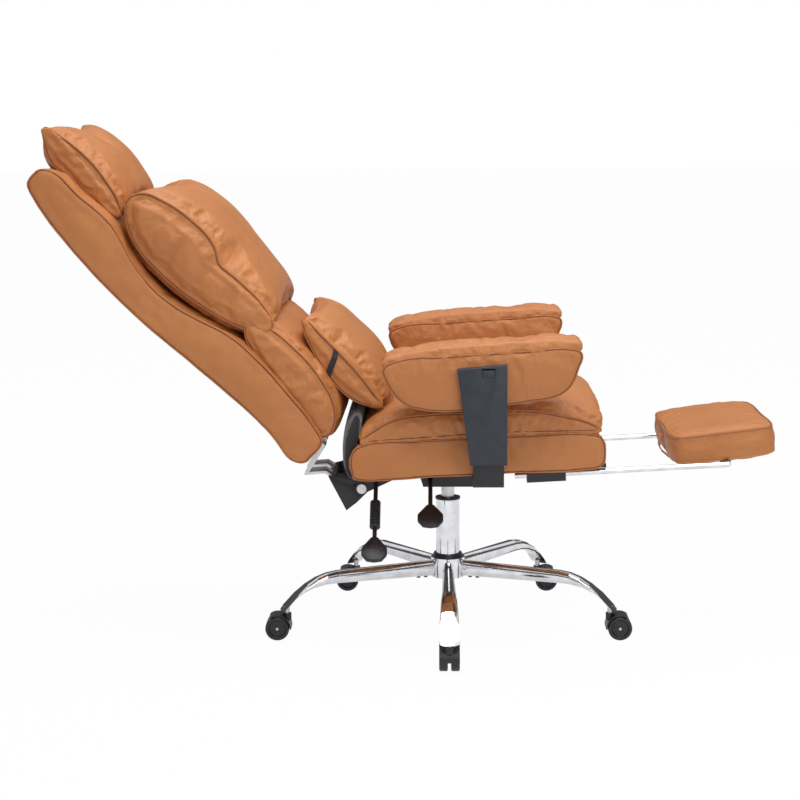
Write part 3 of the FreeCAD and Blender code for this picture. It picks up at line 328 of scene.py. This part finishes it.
def stuffed(name, place, rim, middle, half, body, nodes=(), slot="leather_cushion", corners=(), power=2.4, lobe=None,
            voxel=5.5, pressure=4.0, grow=0.07, cap=14.0, bulge=6.0, seams=(-1, 1), folds=2.4, centre=0.0):
    """A boxed cushion: an end panel at each side, and a cover between them that crowns towards the middle."""
    edge = outline(rim, corners)
    crown = outline(middle, corners)
    side_lobe = outline(lobe, corners) if lobe else crown
    bm = bmesh.new()
    loops = []
    for step in range(SECTIONS + 1):
        share = math.sin(math.pi * (step / SECTIONS - 0.5))
        rise = (1 - abs(share) ** power) ** 0.5
        dip = max(0.0, 1 - abs(share) / 0.5) ** 1.4
        spots = [a.lerp(b, rise).lerp(c, dip) for a, b, c in zip(edge, side_lobe, crown)]
        verts = [bm.verts.new((*spot.xy, centre + share * half)) for spot in spots]
        loops.append([bm.edges.new(pair) for pair in zip(verts, verts[1:] + verts[:1])])
    for first, second in zip(loops, loops[1:]):
        bmesh.ops.bridge_loops(bm, edges=first + second)
    for loop, way in ((loops[0], -1), (loops[-1], 1)):
        panel = bmesh.ops.holes_fill(bm, edges=loop)["faces"]
        for depth in (0.35, 0.5):
            bmesh.ops.inset_region(bm, faces=panel, thickness=bulge * 1.6)
            for vert in {v for f in panel for v in f.verts}:
                vert.co.z += way * bulge * depth
    bmesh.ops.recalc_face_normals(bm, faces=bm.faces)
    bm.transform(place)
    swell = piece(name, mesh_from(name, bm), FINISHES[slot], body)
    if nodes:
        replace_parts(swell, *nodes)
    remesh = swell.modifiers.new("voxels", "REMESH")
    remesh.mode = "VOXEL"
    remesh.voxel_size = voxel * MM
    rims = [[place @ Vector((*p.xy, centre + side * half)) for p in edge] for side in (-1, 1)]
    across = (place.to_3x3() @ Vector((0, 0, 1))).normalized()
    SWELLING.append((swell, rims, across, pressure, grow, cap * MM, folds * MM))
    for side, rim_points in zip((-1, 1), rims):
        if side in seams:
            word = "right" if side < 0 else "left"
            line = [place @ Vector((*p.xy, centre + side * half)) for p in inset(edge, SEAM_SHADE_INSET)]
            # Each rim gets a welt in the darker welt leather, its tone partly painted shade along the seam.
            SEWN.append((swell, name + "_shaded_welt_" + word, rim_points, body, slot, 1.9, SHADED_WELT, 0.2, True))
            # Inside each welt, a thin dark line: painted shade in the seam groove.
            SEWN.append((swell, name + "_seam_shade_" + word, line, body, slot, 0.7, SEAM_SHADE_LINE, 0.1, True))
    return swell


def welt(name, points, body, radius=1.9, finish=None, closed=True):
    corners = range(len(points))
    mesh = spline_mesh(points, closed=closed, corners=corners, steps=1, thickness=radius * MM)
    for p in mesh.polygons:
        p.use_smooth = True
    return piece(name, mesh, finish or SHADED_WELT, body)


def sew_all():
    """Welts, a little darker for painted shade along the seams, and thin dark lines of painted shade in the seam
    grooves, are laid on the swollen covers.
    """
    for swell, name, points, body, slot, radius, finish, lift, closed in SEWN:
        mesh = swell.data
        tree = BVHTree.FromPolygons([v.co for v in mesh.vertices], [p.vertices for p in mesh.polygons])
        laid = []
        for spot in points:
            near, normal = tree.find_nearest(spot)[:2]
            laid.append(near + normal * lift * MM)
        for pass_number in range(2):
            ring = [(a + b * 2 + c) / 4 for a, b, c in zip(laid[-1:] + laid[:-1], laid, laid[1:] + laid[:1])]
            laid = ring if closed else laid[:1] + ring[1:-1] + laid[-1:]
        line = welt(name, laid, body, radius, finish, closed)
        if swell in SQUEEZED:
            squeeze(line, *SQUEEZED[swell])
    for swell, ways in SQUEEZED.items():
        squeeze(swell, *ways)


def squeeze(made, axis, anchor, keep):
    """A soft piece gets a mesh of its own, and so do its seams."""
    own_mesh(made)


def gather(mesh, rims, across, depth):
    """Short folds that run away from the seams on the crowned cover, as on a tightly sewn cushion."""
    spots = []
    for rim in rims:
        run = 0.0
        for before, here in zip(rim[-1:] + rim[:-1], rim):
            run += (here - before).length
            spots.append((here, run))
    tree = KDTree(len(spots))
    for n, (spot, run) in enumerate(spots):
        tree.insert(spot, n)
    tree.balance()
    moves = []
    for vert in mesh.vertices:
        near, n, gap = tree.find(vert.co)
        reach = gap / FOLD_REACH
        if reach < 1 and abs(vert.normal.dot(across)) < 0.8:
            run = spots[n][1]
            wave = noise(Vector((run / FOLD_PITCH, gap / 0.06, near.dot(across) * 9)))
            crease = max(0.0, 1 - abs(wave) * 5)
            window = min(1.0, gap / 0.008) * (1 - reach) ** 1.2
            moves.append((vert, vert.normal * depth * window * (wave * 0.9 - crease)))
    for vert, move in moves:
        vert.co += move


def bake_modifiers(swell):
    """The piece's own mesh becomes what its modifiers make of it."""
    shown = swell.evaluated_get(bpy.context.evaluated_depsgraph_get())
    mesh = bpy.data.meshes.new_from_object(shown)
    swell.modifiers.clear()
    swell.data = mesh


def swell_all():
    """Every cushion is blown up together, then capped, so that none leaves its own room."""
    resting = {}
    for swell, rims, across, pressure, grow, cap, folds in SWELLING:
        bake_modifiers(swell)
        mesh = swell.data
        resting[swell.name] = [v.co.copy() for v in mesh.vertices]
        tree = KDTree(sum(len(r) for r in rims))
        for n, spot in enumerate(p for r in rims for p in r):
            tree.insert(spot, n)
        tree.balance()
        sewn = swell.vertex_groups.new(name="sewn")
        for vert in mesh.vertices:
            gap = tree.find(vert.co)[2]
            if gap < SEWN_REACH:
                sewn.add([vert.index], min(1, (SEWN_REACH - gap) / 0.005), "REPLACE")
        cloth = swell.modifiers.new("stuffing", "CLOTH")
        settings = cloth.settings
        settings.quality = 4
        settings.mass = 0.25
        settings.tension_stiffness = 12
        settings.compression_stiffness = 8
        settings.shear_stiffness = 4
        settings.bending_stiffness = 0.2
        settings.use_pressure = True
        settings.uniform_pressure_force = pressure
        settings.shrink_min = -grow
        settings.effector_weights.gravity = 0
        settings.vertex_group_mass = "sewn"
        cloth.collision_settings.use_collision = False
        cloth.point_cache.frame_start = 1
        cloth.point_cache.frame_end = CLOTH_STEPS
    for step in range(1, CLOTH_STEPS + 1):
        bpy.context.scene.frame_set(step)
    for swell, rims, across, pressure, grow, cap, folds in SWELLING:
        bake_modifiers(swell)
        mesh = swell.data
        for vert, rest in zip(mesh.vertices, resting[swell.name]):
            move = vert.co - rest
            if move.length > cap:
                vert.co = rest + move * (cap / move.length)
        gather(mesh, rims, across, folds)
        for p in mesh.polygons:
            p.use_smooth = True
        swell.vertex_groups.clear()
        finer = swell.modifiers.new("finer", "SUBSURF")
        finer.levels = finer.render_levels = 1
    bpy.context.scene.frame_set(1)


# Backrest

BACK_RIM = [
    (4, 2), (88, 3), (171, 2), (300, -8), (427, -19), (534, -20), (653, -12), (733, 2), (768, 16),
    (774, 40), (766, 62), (678, 73), (603, 78), (564, 69), (523, 56), (462, 47), (399, 52),
    (346, 67), (283, 87), (204, 92), (116, 87), (30, 76), (4, 66), (-2, 34),
]
LOWER_RIM = [(274, 112), (279, 122), (272, 135), (253, 146), (187, 157), (98, 152), (32, 129), (8, 103),
             (2, 78), (20, 60), (59, 62), (158, 77), (235, 92)]
LOWER_MIDDLE = [(268, 112), (276, 130), (266, 146), (245, 158), (187, 163), (98, 160), (32, 140), (8, 112),
                (2, 80), (20, 60), (59, 66), (158, 80), (235, 92)]
UPPER_RIM = [(602, 112), (613, 129), (601, 160), (565, 178), (497, 192), (431, 189), (395, 168), (342, 174),
             (270, 171), (232, 158), (240, 132), (279, 108), (362, 83), (461, 71), (545, 78)]
UPPER_LOBE = [(594, 112), (606, 132), (598, 170), (566, 198), (497, 218), (431, 219), (388, 216), (342, 209),
              (272, 194), (233, 165), (241, 132), (279, 106), (362, 80), (461, 68), (545, 74)]
UPPER_MIDDLE = [(568, 112), (578, 136), (574, 170), (552, 198), (497, 219), (431, 221), (388, 219), (342, 211),
                (276, 196), (233, 166), (241, 132), (279, 106), (362, 80), (461, 68), (535, 74)]
HEAD_RIM = [(829, 112), (810, 117), (733, 129), (662, 122), (619, 109), (600, 92), (612, 80), (662, 76),
            (736, 70), (777, 72), (802, 86)]
HEAD_LOBE = [(826, 106), (808, 126), (742, 148), (668, 142), (618, 122), (600, 94), (612, 78), (662, 72),
             (736, 66), (782, 68), (810, 82)]
HEAD_MIDDLE = [(782, 104), (772, 122), (728, 145), (668, 142), (618, 122), (602, 96), (612, 78), (662, 72),
               (730, 66), (758, 72), (778, 86)]
LUMBAR_RIM = [(209, 208), (150, 209), (90, 209), (20, 204), (-41, 193), (-10, 172), (30, 158), (80, 158),
              (140, 171), (182, 187)]
LUMBAR_MIDDLE = [(205, 214), (170, 240), (110, 248), (40, 247), (-20, 224), (-28, 184), (20, 156), (80, 158),
                 (140, 171), (186, 188)]
DART = [(290, 86), (297, 72), (303, 52), (306, 36), (304, 16), (302, -8)]

shell = stuffed("back_shell", ON_BACK, BACK_RIM, BACK_RIM, 254, "back", ["back_slab"], "leather_panel",
        voxel=7, pressure=1.5, grow=0.008, cap=5, bulge=3, folds=0.5)
lower = stuffed("lower_cushion", ON_BACK, LOWER_RIM, LOWER_MIDDLE, 235, "back", ["lower_back_cushion"], cap=10)
stuffed("upper_pillow", ON_BACK, UPPER_RIM, UPPER_MIDDLE, 233, "back", ["upper_back_pillow"], lobe=UPPER_LOBE,
        corners=(6, 9), cap=12, bulge=9)
stuffed("head_cushion", ON_BACK, HEAD_RIM, HEAD_MIDDLE, 205, "back", ["head_pillow"], lobe=HEAD_LOBE,
        corners=(0,), cap=10)
stuffed("lumbar_cushion", ON_BACK, LUMBAR_RIM, LUMBAR_MIDDLE, 198, "lumbar", ["lumbar_pillow"],
        corners=(0, 4), cap=9, folds=3.0)
# The dart on the back is drawn as a thin dark line: painted shade in its crease.
SEWN.append((shell, "back_shell_dart_shade_line", [ON_BACK @ Vector((a, b, -255)) for a, b in DART], "back", "leather_panel",
             0.6, SEAM_SHADE_LINE, 0.0, False))
SQUEEZED[lower] = (OUT_OF_BACK, ON_BACK @ Vector((100, 60, 0)), 0.4)


def lumbar_straps():
    """Elastic bands that come out of the lumbar pillow's front seam and go round behind it."""
    for side, word in ((-1, "right"), (1, "left")):
        spots = [(112, 208, 198), (104, 196, 204), (96, 178, 204), (88, 160, 202), (84, 148, 196)]
        middle = [ON_BACK @ Vector((along, out, side * across)) for along, out, across in spots]
        wide = UP_THE_BACK * 0.0065
        thin = ACROSS * side * 0.0008
        bm = band([(s + wide + thin, s - wide + thin, s - wide - thin, s + wide - thin) for s in middle])
        piece("lumbar_band_" + word, mesh_from("band", bm), FINISHES["black_fabric"], "lumbar")


lumbar_straps()

# Seat

BASE_RIM = [(-194, 20), (-190, 6), (-176, 0), (-60, 0), (100, 0), (290, 0), (306, 6), (312, 20), (312, 48),
            (306, 64), (290, 71), (100, 76), (-60, 76), (-170, 73), (-188, 62), (-194, 48)]
SEAT_RIM = [(-178, 76), (-60, 78), (100, 80), (250, 76), (308, 74), (290, 90), (228, 111), (159, 125), (40, 126),
            (-40, 127), (-100, 121), (-146, 100)]
SEAT_MIDDLE = [(-180, 74), (-60, 72), (100, 72), (250, 72), (316, 76), (318, 100), (284, 128), (214, 144),
               (90, 148), (-20, 145), (-100, 134), (-158, 104)]
FABRIC_RIM = [(-176, 131), (-188, 116), (-199, 88), (-205, 58), (-206, 30), (-201, 8), (-192, 0), (-182, 2),
              (-182, 60), (-172, 100)]
FABRIC_MIDDLE = [(-176, 131), (-192, 116), (-205, 88), (-212, 58), (-212, 30), (-205, 8), (-192, 0), (-182, 2),
                 (-182, 60), (-172, 100)]

stuffed("seat_shell", ON_SEAT, BASE_RIM, BASE_RIM, 259, "seat", ["seat_base"], "leather_panel",
        voxel=7, pressure=1.5, grow=0.008, cap=5, bulge=3, folds=0.5)
stuffed("seat_pad", ON_SEAT, SEAT_RIM, SEAT_MIDDLE, 256, "seat", ["seat_cushion"], corners=(0, 4), cap=10, bulge=4)
fabric = stuffed("seat_rear_fabric", ON_SEAT, FABRIC_RIM, FABRIC_MIDDLE, 240, "seat", ["seat_rear_panel"],
                 "black_fabric", voxel=5, pressure=1, cap=3, bulge=2, seams=(), folds=0.8)
SQUEEZED[fabric] = (ALONG_SEAT, ON_SEAT @ Vector((-192, 60, 0)), 0.2)

# Arms

ON_ARM = axes((0.060, 0, 0.516), ALONG_SEAT, OFF_SEAT, ACROSS)
ARM_BODY = [(-185, 93), (-182, 74), (-173, 55), (-161, 36), (-142, 19), (-114, 10), (-81, 4), (-40, 3), (59, 10),
            (96, 14), (142, 19), (168, 30), (184, 48), (194, 72), (203, 103), (190, 112), (100, 114), (-60, 112),
            (-160, 108)]
ARM_TOP = [(-187, 104), (-180, 96), (-162, 91), (-116, 89), (-42, 89), (62, 90), (130, 92), (173, 97), (196, 104),
           (205, 116), (198, 124), (178, 128), (149, 131), (103, 131), (41, 130), (-52, 128), (-114, 123),
           (-161, 117), (-183, 110)]
ARM_CREST = [(a, b + (4 if b > 115 else 0)) for a, b in ARM_TOP]
ARM_MIDDLE = 282.5

for side, word in ((-1, "right"), (1, "left")):
    arm = "arm_" + word
    stuffed("arm_body_" + word, ON_ARM, ARM_BODY, ARM_BODY, 41.5, arm, ["arm_pad_" + word], voxel=5, pressure=2,
            grow=0.02, cap=4, bulge=3, folds=0.8, centre=side * ARM_MIDDLE)
    stuffed("arm_top_" + word, ON_ARM, ARM_TOP, ARM_CREST, 37, arm, voxel=5, pressure=3, grow=0.04, cap=6, bulge=5,
            power=4, seams=(), folds=1.2, centre=side * ARM_MIDDLE)

# Footrest

PAD_TILT = math.radians(7)
ALONG_PAD = Vector((math.cos(PAD_TILT), 0, math.sin(PAD_TILT)))
OFF_PAD = Vector((-math.sin(PAD_TILT), 0, math.cos(PAD_TILT)))
ON_PAD = axes((0.5653, 0, 0.3836), ALONG_PAD, ACROSS, OFF_PAD)
PAD_RIM = [(-104, -135), (-96, -158), (-76, -165), (0, -165), (74, -165), (96, -158), (103, -138), (104, 0), (103, 138),
           (96, 158), (74, 165), (0, 165), (-76, 165), (-96, 158), (-104, 135), (-105, 0)]
stuffed("foot_cushion", ON_PAD, PAD_RIM, PAD_RIM, 27.5, "foot_pad", ["footrest_pad"], voxel=5, pressure=2,
        grow=0.02, cap=5, bulge=5, power=8, seams=(1,), folds=0.6, centre=35.5)


def pull_loop():
    """A leather tab under the pad's rear edge, bent outwards as a finger loop."""
    spots = [Vector(spot) for spot in ((-98, 46), (-110, 41), (-115, 31), (-116, 20), (-112, 9), (-98, -6))]
    half_width = 13
    sections = []
    for before, here, after in zip(spots[:1] + spots, spots, spots[1:] + spots[-1:]):
        run = (after - before).normalized()
        side = Vector((-run.y, run.x)) * 1.3
        corners = ((here + side, -1), (here + side, 1), (here - side, 1), (here - side, -1))
        sections.append([(spot.x, way * half_width, spot.y) for spot, way in corners])
    bm = band(sections)
    bm.transform(ON_PAD)
    made = piece("pull_loop", mesh_from("pull_loop", bm), FINISHES["leather_panel"], "foot_pad")
    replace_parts(made, "footrest_pull_strap")


pull_loop()
swell_all()
sew_all()


# Rigid pieces with softened edges

BODY_OF = {node: body for body, nodes in record["behaviour"]["bodies"].items() for node in nodes}
SLOT_OF = {entry["node"]: entry["material_slot"] for entry in record["subparts"]}


FLAT_AREA = 0.0001


def finish_rigid(name, bm, node, sharp=0.6):
    mesh = mesh_from(name, bm)
    for p in mesh.polygons:
        p.use_smooth = p.area < FLAT_AREA
    mesh.set_sharp_from_angle(angle=sharp)
    return piece(name, mesh, FINISHES[SLOT_OF[node]], BODY_OF[node])


def softened(node, width):
    """A rigid piece with its sharp edges rounded, as pressed steel and moulded plastic have them."""
    bm = bmesh.new()
    bm.from_mesh(frame["nodes"][node].data)
    bmesh.ops.remove_doubles(bm, verts=bm.verts, dist=0.00002)
    bmesh.ops.dissolve_limit(bm, angle_limit=0.02, verts=bm.verts, edges=bm.edges)
    sharp = [e for e in bm.edges if len(e.link_faces) == 2 and e.calc_face_angle(0) > 0.5]
    bmesh.ops.bevel(bm, geom=sharp, offset=width * MM, offset_type="OFFSET", segments=2, profile=0.5,
                    affect="EDGES", clamp_overlap=True, material=-1)
    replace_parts(finish_rigid("soft_" + node, bm, node), node)


for node, width in (
    ("arm_sleeve_right", 2.0), ("arm_sleeve_left", 2.0), ("arm_trigger_right", 1.2), ("arm_trigger_left", 1.2),
    ("arm_post_right", 1.0), ("arm_post_left", 1.0), ("back_bracket", 1.2), ("back_straps", 1.5),
    ("footrest_guides", 1.5), ("height_lever_paddle", 3.0), ("recline_lever_paddle", 3.0), ("footrest_brackets", 1.0),
):
    softened(node, width)


# The recline lever's rod, and where the bellows sit along it
LEVER_ROOT = Vector((-0.150, -0.093, 0.330))
LEVER_TIP = Vector((-0.150, -0.215, 0.240))
BELLOWS_FROM = 0.055
BELLOWS_TO = 0.125
RIBS = 9


def ribbed_sleeve():
    """Rubber bellows over the recline lever's rod: a ribbed outline spun round the rod's line."""
    start = LEVER_ROOT.lerp(LEVER_TIP, BELLOWS_FROM / (LEVER_TIP - LEVER_ROOT).length)
    end = LEVER_ROOT.lerp(LEVER_TIP, BELLOWS_TO / (LEVER_TIP - LEVER_ROOT).length)
    run = (end - start).normalized()
    length = (end - start).length
    pitch = length / RIBS
    bm = bmesh.new()
    heights = [(0.0046, 0)]
    for rib in range(RIBS):
        base = rib * pitch
        heights += [(0.0088, base), (0.0110, base + pitch * 0.25), (0.0110, base + pitch * 0.6)]
        heights.append((0.0088, base + pitch * 0.85))
    heights.append((0.0046, length))
    verts = [bm.verts.new((radius, 0, height)) for radius, height in heights]
    edges = [bm.edges.new(pair) for pair in zip(verts, verts[1:])]
    bmesh.ops.spin(bm, geom=verts + edges, cent=(0, 0, 0), axis=(0, 0, 1), angle=math.tau, steps=28, use_merge=True)
    bmesh.ops.remove_doubles(bm, verts=bm.verts, dist=0.00001)
    bmesh.ops.recalc_face_normals(bm, faces=bm.faces)
    bm.transform(Matrix.Translation(start) @ run.to_track_quat("Z", "Y").to_matrix().to_4x4())
    made = finish_rigid("recline_lever_bellows", bm, "recline_lever_sleeve", 0.9)
    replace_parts(made, "recline_lever_sleeve")


ribbed_sleeve()


# Camera, floor and light

FOCAL_PIXELS = 1824.68
PICTURE = 800
SENSOR = 36.0
camera_data = bpy.data.cameras.new("camera")
camera_data.sensor_width = SENSOR
camera_data.lens = FOCAL_PIXELS / PICTURE * SENSOR
camera = bpy.data.objects.new("camera", camera_data)
bpy.context.scene.collection.objects.link(camera)
bpy.context.scene.camera = camera
pitch, yaw, roll = (math.radians(a) for a in (9.0749, -1.0029, -0.2936))
right = Vector((math.cos(yaw), -math.sin(yaw), 0))
forward = Vector((math.sin(yaw) * math.cos(pitch), math.cos(yaw) * math.cos(pitch), -math.sin(pitch)))
upward = Vector((math.sin(yaw) * math.sin(pitch), math.cos(yaw) * math.sin(pitch), math.cos(pitch)))
rolled_right = right * math.cos(roll) + upward * math.sin(roll)
rolled_up = upward * math.cos(roll) - right * math.sin(roll)
turn = Matrix((rolled_right, rolled_up, -forward)).transposed().to_4x4()
camera.matrix_world = Matrix.Translation((-0.03413, -3.8114, 1.0970)) @ turn

bm = bmesh.new()
bmesh.ops.create_grid(bm, x_segments=1, y_segments=1, size=30)
floor_mesh = mesh_from("floor", bm)
floor = bpy.data.objects.new("floor", floor_mesh)
bpy.context.scene.collection.objects.link(floor)
floor_finish = Finish("floor", Base_Color=(0.9, 0.9, 0.9, 1), Roughness=0.9)
floor_tree = floor_finish.tree
seen = floor_finish.node("LightPath", output="Is Camera Ray")
mirrored = floor_finish.node("LightPath", output="Is Glossy Ray")
glow = floor_tree.nodes.new("ShaderNodeEmission")
glow.inputs["Strength"].default_value = 1.0
blend = floor_tree.nodes.new("ShaderNodeMixShader")
floor_finish.feed(blend.inputs["Fac"], seen * 0.97 + mirrored * 0.6)
floor_tree.links.new(floor_finish.shader.outputs[0], blend.inputs[1])
floor_tree.links.new(glow.outputs[0], blend.inputs[2])
floor_tree.links.new(blend.outputs[0], floor_tree.nodes["Material Output"].inputs["Surface"])
floor_mesh.materials.append(floor_finish.material)


def lamp(name, spot, target, side, power):
    data = bpy.data.lights.new(name, "AREA")
    data.shape = "SQUARE"
    data.size = side
    data.energy = power
    made = bpy.data.objects.new(name, data)
    aim = (Vector(target) - Vector(spot)).to_track_quat("-Z", "Y")
    made.matrix_world = Matrix.Translation(spot) @ aim.to_matrix().to_4x4()
    bpy.context.scene.collection.objects.link(made)


lamp("overhead", (0.2, -0.6, 3.4), (0, 0, 0.5), 2.6, 92)
lamp("front", (0.8, -3.6, 1.8), (0, 0, 0.5), 2.0, 26)

world = bpy.data.worlds.new("studio")
bpy.context.scene.world = world
world.use_nodes = True
studio = Graph(world.node_tree)
backdrop = world.node_tree.nodes["Background"]
backdrop.inputs["Color"].default_value = (1, 1, 1, 1)
in_view = studio.node("LightPath", output="Is Camera Ray")
in_mirror = studio.node("LightPath", output="Is Glossy Ray")
way = studio.node("TexCoord", output="Generated")
height = studio.node("SeparateXYZ", {"Vector": way}, output=2)
dark_band = studio.spread(abs(height - 0.24), 0.12, 0.3, 0.08, 0.95)
lit = 0.42 * (1 - in_mirror) + dark_band * in_mirror
studio.feed(backdrop.inputs["Strength"], in_view + lit * (1 - in_view))

scene = bpy.context.scene
scene.view_settings.view_transform = "Standard"
